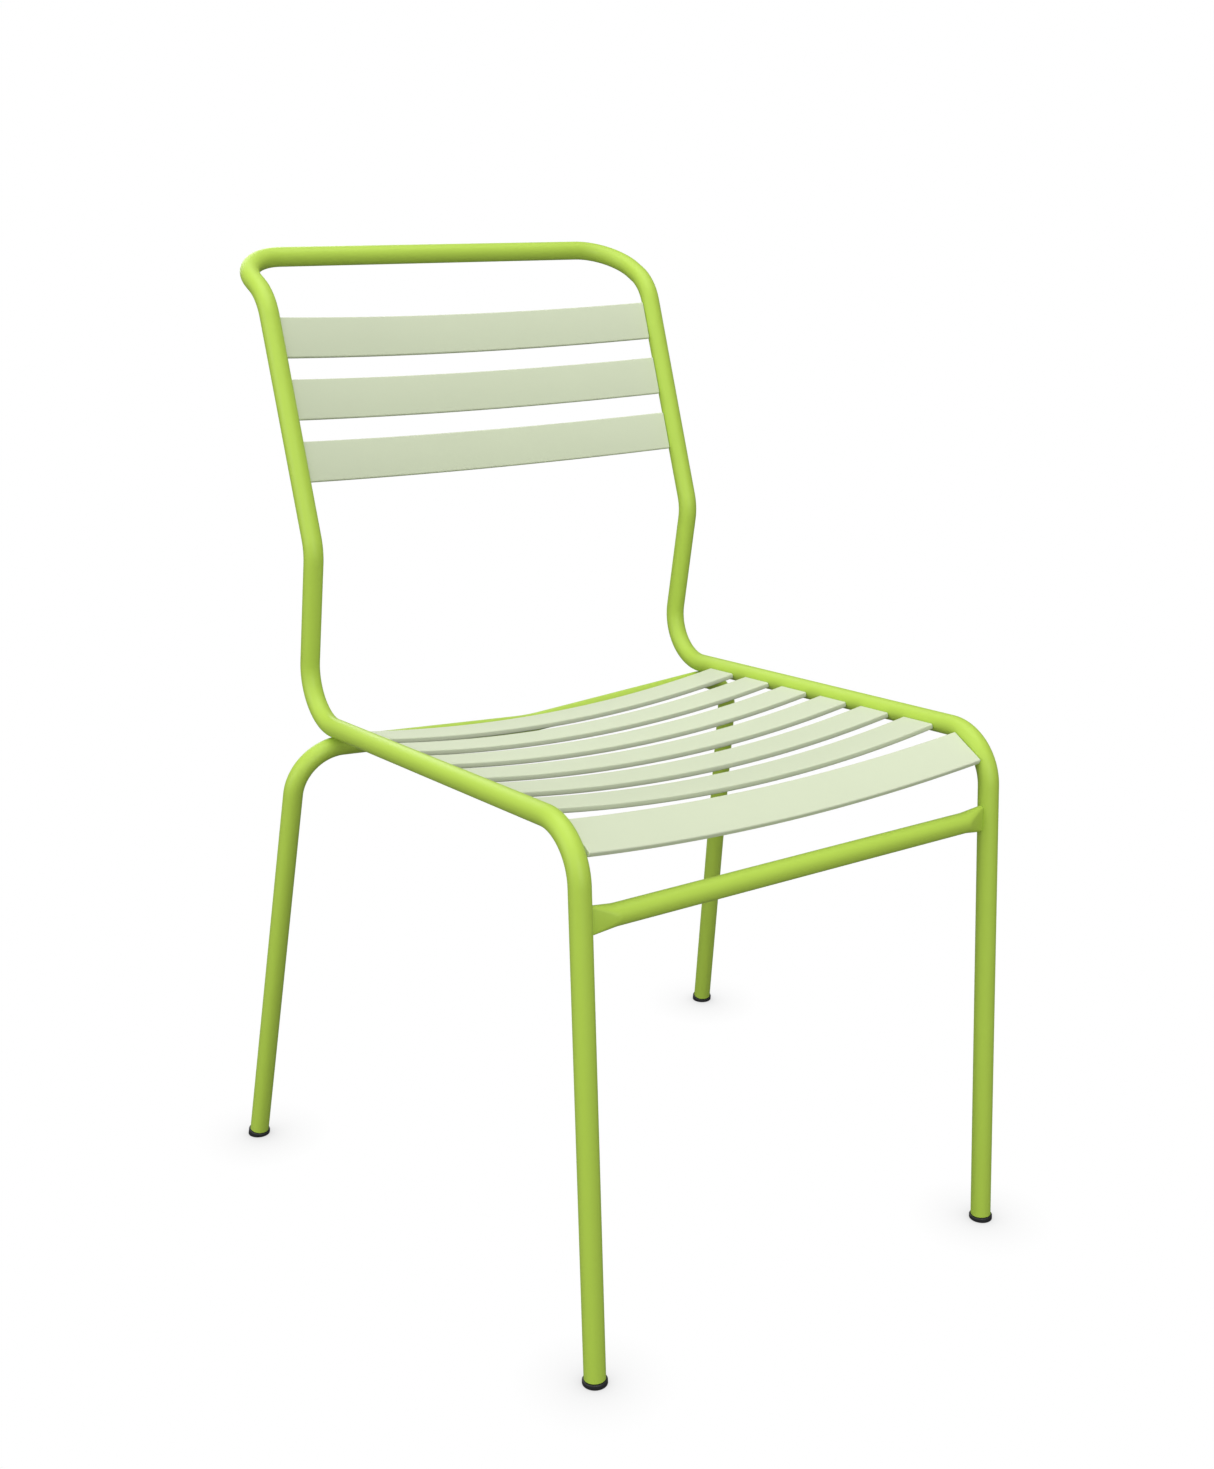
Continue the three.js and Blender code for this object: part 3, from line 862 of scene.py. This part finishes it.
class CHAIR_OT_screws(bpy.types.Operator):
    """Models one screw and copies it under every slat end"""

    bl_idname = "chair.screws"
    bl_label = "Screws"

    def execute(self, context):
        frame_sizes = context.scene.chair_frame
        sizes = context.scene.chair_slats
        pattern = model_screw("screw_pattern", frame_sizes, sizes)
        distance = lug_distance(frame_sizes, sizes) + frame_sizes.contact_gap
        for node, matrix in slat_places(frame_sizes, sizes):
            for ending, side in SIDES.items():
                screw = copy_piece(pattern, f"{node}_screw_{ending}_smooth")
                place(screw, fixing_place(frame_sizes, sizes, matrix, side, distance))
                bpy.ops.object.shade_smooth_by_angle(angle=SMOOTH_ANGLE)
                stand_for(screw, f"{node}_screw_{ending}", screw_zinc(context))
        remove(pattern)
        return {"FINISHED"}


# ---- Glides ----


def model_glide(name, frame_sizes, sizes, tube_end):
    """A rim under the tube's end and a plug up its bore, drawn along the leg's axis."""
    rim = sizes.flange_diameter / 2
    plug = tube_radius(frame_sizes) - frame_sizes.tube_wall - sizes.plug_clearance
    seat = tube_end - frame_sizes.contact_gap
    tip = seat + sizes.plug_length
    profile = [(rim, -FOOT_STOCK), (rim, seat - sizes.rim_radius)]
    for ring in range(1, GLIDE_RIM_RINGS + 1):
        angle = ring / GLIDE_RIM_RINGS * math.pi / 2
        radius = rim - sizes.rim_radius * (1 - math.cos(angle))
        height = seat - sizes.rim_radius * (1 - math.sin(angle))
        profile.append((radius, height))
    profile += [(plug, seat), (plug, tip - sizes.tip_chamfer), (plug - sizes.tip_chamfer, tip)]
    return turned_piece(name, profile, GLIDE_SIDES)


def level_foot(glide):
    """Cuts a placed glide off level with the floor and softens the new edge."""
    edit_all(glide)
    bpy.ops.mesh.bisect(
        plane_co=(0, 0, 0), plane_no=(0, 0, 1), clear_inner=True, use_fill=True)
    pick(glide, "FACE", lambda co: abs(co.z) < FIND_DISTANCE)
    bpy.ops.mesh.region_to_loop()
    bpy.ops.mesh.bevel(affect="EDGES", offset=EDGE_RADIUS, segments=2, profile=0.5)
    finish_editing(glide)


class CHAIR_OT_glides(bpy.types.Operator):
    """Models the four glides and levels them on the floor"""

    bl_idname = "chair.glides"
    bl_label = "Glides"

    def execute(self, context):
        frame_sizes = context.scene.chair_frame
        sizes = context.scene.chair_glides
        for ending, side in SIDES.items():
            front = (front_foot(side), seat_front_corner(frame_sizes, side))
            rear = (rear_foot(side), shoulder(frame_sizes, side))
            legs = {
                "front": (*front, frame_sizes.front_glide_height),
                "rear": (*rear, frame_sizes.rear_glide_height),
            }
            for leg, (foot, corner, tube_end) in legs.items():
                node = f"{leg}_glide_{ending}"
                glide = model_glide(f"{node}_smooth", frame_sizes, sizes, tube_end)
                along = (corner - foot).to_track_quat("Z", "X").to_matrix().to_4x4()
                place(glide, Matrix.Translation(foot) @ along)
                level_foot(glide)
                stand_for(glide, node, glide_black(context))
        return {"FINISHED"}


# ---- Materials ----


def new_group(name, inputs, outputs):
    """A shader node group with named sockets; each input is a name, a kind and a default."""
    group = bpy.data.node_groups.new(name, "ShaderNodeTree")
    for label, kind, default in inputs:
        socket = group.interface.new_socket(name=label, in_out="INPUT", socket_type=kind)
        socket.default_value = default
    for label, kind in outputs:
        group.interface.new_socket(name=label, in_out="OUTPUT", socket_type=kind)
    start = group.nodes.new("NodeGroupInput")
    end = group.nodes.new("NodeGroupOutput")
    return group, start, end


def add_node(tree, kind, **settings):
    """Adds a node to a tree and sets it."""
    node = tree.nodes.new(kind)
    for setting, value in settings.items():
        setattr(node, setting, value)
    return node


def object_coordinates(tree):
    """The place on the object, in metres."""
    return add_node(tree, "ShaderNodeTexCoord").outputs["Object"]


def noise(tree, vector, scale, detail, roughness=0.5):
    """A noise texture; scale is a number or a socket."""
    node = add_node(tree, "ShaderNodeTexNoise")
    tree.links.new(vector, node.inputs["Vector"])
    if isinstance(scale, float):
        node.inputs["Scale"].default_value = scale
    else:
        tree.links.new(scale, node.inputs["Scale"])
    node.inputs["Detail"].default_value = detail
    node.inputs["Roughness"].default_value = roughness
    return node.outputs["Fac"]


def math_node(tree, operation, first, second, clamp=False):
    """One Math node; each operand is a number or a socket."""
    node = add_node(tree, "ShaderNodeMath", operation=operation, use_clamp=clamp)
    for index, operand in enumerate((first, second)):
        if isinstance(operand, (int, float)):
            node.inputs[index].default_value = operand
        else:
            tree.links.new(operand, node.inputs[index])
    return node.outputs[0]


def orange_peel_group():
    """The fine pebbling of a baked powder coat, as a height."""
    group, start, end = new_group(
        "Orange Peel",
        [("Scale", "NodeSocketFloat", 900.0), ("Amount", "NodeSocketFloat", 1.0)],
        [("Height", "NodeSocketFloat")])
    place_on = object_coordinates(group)
    pebbles = noise(group, place_on, start.outputs["Scale"], 2.0)
    fine = math_node(group, "MULTIPLY", start.outputs["Scale"], 3.1)
    grain = noise(group, place_on, fine, 1.0)
    mixed = math_node(group, "ADD", pebbles, math_node(group, "MULTIPLY", grain, 0.35))
    height = math_node(group, "MULTIPLY", mixed, start.outputs["Amount"])
    group.links.new(height, end.inputs["Height"])
    return group


def tone_group():
    """Slow drift of a coat's colour and gloss from thicker and thinner powder."""
    group, start, end = new_group(
        "Coat Tone",
        [("Color", "NodeSocketColor", (0.5, 0.5, 0.5, 1.0)),
         ("Scale", "NodeSocketFloat", 14.0),
         ("Drift", "NodeSocketFloat", 0.04),
         ("Roughness", "NodeSocketFloat", 0.4),
         ("Gloss Drift", "NodeSocketFloat", 0.06)],
        [("Color", "NodeSocketColor"), ("Roughness", "NodeSocketFloat")])
    place_on = object_coordinates(group)
    cloud = noise(group, place_on, start.outputs["Scale"], 3.0)
    centred = math_node(group, "SUBTRACT", cloud, 0.5)
    drift = math_node(group, "MULTIPLY", centred, start.outputs["Drift"])
    value = math_node(group, "ADD", drift, 1.0)
    shade = add_node(group, "ShaderNodeHueSaturation")
    group.links.new(start.outputs["Color"], shade.inputs["Color"])
    group.links.new(value, shade.inputs["Value"])
    fine = noise(group, place_on, 160.0, 2.0)
    wander = math_node(group, "SUBTRACT", fine, 0.5)
    gloss = math_node(group, "MULTIPLY", wander, start.outputs["Gloss Drift"])
    rough = math_node(group, "ADD", start.outputs["Roughness"], gloss)
    group.links.new(shade.outputs["Color"], end.inputs["Color"])
    group.links.new(rough, end.inputs["Roughness"])
    return group


def edge_group():
    """A mask of the corners, where the powder draws back and the coat is thinner."""
    group, start, end = new_group(
        "Thin Edge",
        [("Radius", "NodeSocketFloat", 0.0008), ("Amount", "NodeSocketFloat", 0.5)],
        [("Mask", "NodeSocketFloat")])
    rounded = add_node(group, "ShaderNodeBevel", samples=4)
    group.links.new(start.outputs["Radius"], rounded.inputs["Radius"])
    geometry = add_node(group, "ShaderNodeNewGeometry")
    lean = add_node(group, "ShaderNodeVectorMath", operation="DOT_PRODUCT")
    group.links.new(rounded.outputs["Normal"], lean.inputs[0])
    group.links.new(geometry.outputs["Normal"], lean.inputs[1])
    away = math_node(group, "SUBTRACT", 1.0, lean.outputs["Value"])
    sharp = math_node(group, "MULTIPLY", away, 8.0, clamp=True)
    mask = math_node(group, "MULTIPLY", sharp, start.outputs["Amount"])
    group.links.new(mask, end.inputs["Mask"])
    return group


def grain_group():
    """Stretched fine grain for moulded plastic and for plated metal."""
    group, start, end = new_group(
        "Fine Grain",
        [("Scale", "NodeSocketFloat", 700.0),
         ("Stretch", "NodeSocketVector", (1.0, 1.0, 1.0)),
         ("Low", "NodeSocketFloat", 0.4),
         ("High", "NodeSocketFloat", 0.6)],
        [("Value", "NodeSocketFloat"), ("Height", "NodeSocketFloat")])
    place_on = object_coordinates(group)
    stretch = add_node(group, "ShaderNodeVectorMath", operation="MULTIPLY")
    group.links.new(place_on, stretch.inputs[0])
    group.links.new(start.outputs["Stretch"], stretch.inputs[1])
    grain = noise(group, stretch.outputs["Vector"], start.outputs["Scale"], 3.0)
    ranged = add_node(group, "ShaderNodeMapRange")
    group.links.new(grain, ranged.inputs["Value"])
    group.links.new(start.outputs["Low"], ranged.inputs["To Min"])
    group.links.new(start.outputs["High"], ranged.inputs["To Max"])
    group.links.new(ranged.outputs["Result"], end.inputs["Value"])
    group.links.new(grain, end.inputs["Height"])
    return group


EFFECTS = {
    "Orange Peel": orange_peel_group,
    "Coat Tone": tone_group,
    "Thin Edge": edge_group,
    "Fine Grain": grain_group,
}


def effect(tree, name, **values):
    """Places one shared effect in a material, with this material's own values."""
    group = bpy.data.node_groups.get(name) or EFFECTS[name]()
    node = add_node(tree, "ShaderNodeGroup", node_tree=group)
    for label, value in values.items():
        node.inputs[label.replace("_", " ")].default_value = value
    return node


def new_material(name):
    """An empty node material with its shader joined to its output."""
    material = bpy.data.materials.new(name)
    material.use_nodes = True
    tree = material.node_tree
    tree.nodes.clear()
    output = add_node(tree, "ShaderNodeOutputMaterial")
    shader = add_node(tree, "ShaderNodeBsdfPrincipled")
    tree.links.new(shader.outputs["BSDF"], output.inputs["Surface"])
    return material, tree, shader


def bump(tree, shader, height, distance):
    """Lets a height roughen a shader's surface by a distance."""
    node = add_node(tree, "ShaderNodeBump")
    node.inputs["Strength"].default_value = 1.0
    node.inputs["Distance"].default_value = distance
    tree.links.new(height, node.inputs["Height"])
    tree.links.new(node.outputs["Normal"], shader.inputs["Normal"])


def powder_coat(name, paint, edge_paint, roughness, specular):
    """Satin powder coat with orange peel, a slow drift of tone and thinner corners."""
    material = bpy.data.materials.get(name)
    if material:
        return material
    material, tree, shader = new_material(name)
    tone = effect(tree, "Coat Tone", Color=(*paint, 1.0), Roughness=roughness)
    edge = effect(tree, "Thin Edge", Amount=0.55)
    peel = effect(tree, "Orange Peel")
    mix = add_node(tree, "ShaderNodeMix", data_type="RGBA")
    tree.links.new(edge.outputs["Mask"], mix.inputs["Factor"])
    tree.links.new(tone.outputs["Color"], mix.inputs["A"])
    mix.inputs["B"].default_value = (*edge_paint, 1.0)
    tree.links.new(mix.outputs["Result"], shader.inputs["Base Color"])
    tree.links.new(tone.outputs["Roughness"], shader.inputs["Roughness"])
    shader.inputs["Specular IOR Level"].default_value = specular
    bump(tree, shader, peel.outputs["Height"], 0.03 * MM)
    return material


def blend_colours(first, second, share):
    """A colour part of the way from one to another."""
    return tuple(a + (b - a) * share for a, b in zip(first, second))


def frame_paint(context):
    """Yellow-green satin coat on the tubes and the lugs."""
    paint = tuple(context.scene.chair_colours.frame_paint)
    lighter = blend_colours(paint, (1.0, 1.0, 1.0), 0.12)
    return powder_coat("frame_paint_coat", paint, lighter, 0.46, 0.35)


def slat_paint(context):
    """Pale grey-green matt coat on the slats."""
    paint = tuple(context.scene.chair_colours.slat_paint)
    greyer = blend_colours(paint, (0.62, 0.66, 0.60), 0.5)
    return powder_coat("slat_paint_coat", paint, greyer, 0.58, 0.3)


def grained(name, base, tone_values, grain_values, metallic, depth):
    """A plain colour with a slow drift of tone and a fine grain in its gloss and height."""
    material = bpy.data.materials.get(name)
    if material:
        return material
    material, tree, shader = new_material(name)
    tone = effect(tree, "Coat Tone", Color=(*base, 1.0), **tone_values)
    grain = effect(tree, "Fine Grain", **grain_values)
    tree.links.new(tone.outputs["Color"], shader.inputs["Base Color"])
    tree.links.new(grain.outputs["Value"], shader.inputs["Roughness"])
    shader.inputs["Metallic"].default_value = metallic
    bump(tree, shader, grain.outputs["Height"], depth)
    return material


def glide_black(context):
    """Moulded black plastic with a fine matt grain."""
    return grained(
        "glide_plastic", context.scene.chair_colours.glide_black,
        {"Scale": 120.0, "Drift": 0.3},
        {"Scale": 1500.0, "Low": 0.42, "High": 0.62}, 0.0, 0.04 * MM)


def screw_zinc(context):
    """Zinc-plated steel with fine turning marks."""
    return grained(
        "screw_plating", context.scene.chair_colours.screw_zinc,
        {"Scale": 300.0, "Drift": 0.2},
        {"Scale": 900.0, "Stretch": (1.0, 1.0, 4.0), "Low": 0.24, "High": 0.42},
        1.0, 0.01 * MM)


# ---- Stage ----


def split_for_camera(tree, lit, seen, output):
    """Lets the camera see one surface while the chair is lit by another."""
    path = add_node(tree, "ShaderNodeLightPath")
    mix = add_node(tree, "ShaderNodeMixShader")
    tree.links.new(path.outputs["Is Camera Ray"], mix.inputs["Fac"])
    tree.links.new(lit, mix.inputs[1])
    tree.links.new(seen, mix.inputs[2])
    tree.links.new(mix.outputs["Shader"], output.inputs["Surface"])


def floor_material():
    """A plain white floor that only darkens close round the feet, and throws little light up."""
    material, tree, shader = new_material("floor_white")
    tree.nodes.remove(shader)
    near = add_node(tree, "ShaderNodeAmbientOcclusion", samples=16)
    near.inputs["Distance"].default_value = CONTACT_SHADOW_REACH
    softened = add_node(tree, "ShaderNodeMapRange")
    softened.inputs["To Min"].default_value = 1 - CONTACT_SHADOW_STRENGTH
    tree.links.new(near.outputs["AO"], softened.inputs["Value"])
    white = add_node(tree, "ShaderNodeEmission")
    tree.links.new(softened.outputs["Result"], white.inputs["Strength"])
    dim = add_node(tree, "ShaderNodeBsdfDiffuse")
    dim.inputs["Color"].default_value = FLOOR_BOUNCE_COLOUR
    output = next(node for node in tree.nodes if node.type == "OUTPUT_MATERIAL")
    split_for_camera(tree, dim.outputs["BSDF"], white.outputs["Emission"], output)
    return material


def soft_light(name, place_at, aim, size, power):
    """A large square softbox that faces a point."""
    deselect_all()
    bpy.ops.object.light_add(type="AREA", location=place_at)
    light = bpy.context.active_object
    light.name = name
    light.data.shape = "SQUARE"
    light.data.size = size
    light.data.energy = power
    toward = Vector(aim) - Vector(place_at)
    light.rotation_euler = toward.to_track_quat("-Z", "Y").to_euler()


def light_the_room(scene):
    """A white surround that the camera sees, and a dimmer one that lights the chair."""
    world = bpy.data.worlds.new("studio")
    world.use_nodes = True
    tree = world.node_tree
    tree.nodes.clear()
    output = add_node(tree, "ShaderNodeOutputWorld")
    seen = add_node(tree, "ShaderNodeBackground")
    seen.inputs["Color"].default_value = WHITE
    lit = add_node(tree, "ShaderNodeBackground")
    lit.inputs["Color"].default_value = WHITE
    lit.inputs["Strength"].default_value = SURROUND_STRENGTH
    split_for_camera(tree, lit.outputs["Background"], seen.outputs["Background"], output)
    scene.world = world


class CHAIR_OT_stage(bpy.types.Operator):
    """Lays the floor, hangs the lights and sets up the camera"""

    bl_idname = "chair.stage"
    bl_label = "Stage"

    def execute(self, context):
        scene = context.scene
        scene.view_settings.view_transform = "Standard"
        deselect_all()
        bpy.ops.mesh.primitive_plane_add(size=FLOOR_SIZE)
        floor = bpy.context.active_object
        floor.name = "floor"
        floor.data.materials.append(floor_material())
        light_the_room(scene)
        middle = (CAD_BOX[0] + CAD_BOX[1]) / 2
        for name, (location, size, power) in SOFT_LIGHTS.items():
            soft_light(name, location, middle, size, power)
        self.set_camera(scene)
        return {"FINISHED"}

    def set_camera(self, scene):
        """Stands in front of the chair, to its left, a little above the top rail."""
        deselect_all()
        bpy.ops.object.camera_add(
            location=CAMERA_PLACE, rotation=(CAMERA_TILT, 0, CAMERA_HEADING))
        camera = bpy.context.active_object
        camera.name = "camera"
        camera.data.angle = CAMERA_ANGLE
        camera.data.clip_start = CAMERA_NEAR
        camera.data.clip_end = CAMERA_FAR
        scene.camera = camera


# ---- Add-on ----


class CHAIR_PT_panel(bpy.types.Panel):
    """Lists the sizes, the colours and the operators that model the chair"""

    bl_idname = "CHAIR_PT_panel"
    bl_label = "Stacking Chair"
    bl_space_type = "VIEW_3D"
    bl_region_type = "UI"
    bl_category = "Chair"

    def draw(self, context):
        layout = self.layout
        for group in (context.scene.chair_frame, context.scene.chair_slats,
                      context.scene.chair_glides, context.scene.chair_colours):
            column = layout.column(align=True)
            for name in group.__annotations__:
                column.prop(group, name)
        for operator in OPERATORS:
            layout.operator(operator.bl_idname)


OPERATORS = (
    CHAIR_OT_stage,
    CHAIR_OT_frame_tube,
    CHAIR_OT_rear_leg_tube,
    CHAIR_OT_front_crossbar,
    CHAIR_OT_slats,
    CHAIR_OT_lugs,
    CHAIR_OT_screws,
    CHAIR_OT_glides,
)
GROUPS = {
    "chair_frame": ChairFrameSizes,
    "chair_slats": ChairSlatSizes,
    "chair_glides": ChairGlideSizes,
    "chair_colours": ChairColours,
}


def register():
    for cls in (*GROUPS.values(), *OPERATORS, CHAIR_PT_panel):
        bpy.utils.register_class(cls)
    for name, cls in GROUPS.items():
        setattr(bpy.types.Scene, name, PointerProperty(type=cls))


def unregister():
    for name in GROUPS:
        delattr(bpy.types.Scene, name)
    for cls in reversed((*GROUPS.values(), *OPERATORS, CHAIR_PT_panel)):
        bpy.utils.unregister_class(cls)


def main():
    register()
    bpy.ops.chair.stage()
    bpy.ops.chair.frame_tube()
    bpy.ops.chair.rear_leg_tube()
    bpy.ops.chair.front_crossbar()
    bpy.ops.chair.slats()
    bpy.ops.chair.lugs()
    bpy.ops.chair.screws()
    bpy.ops.chair.glides()


if __name__ == "__main__":
    main()
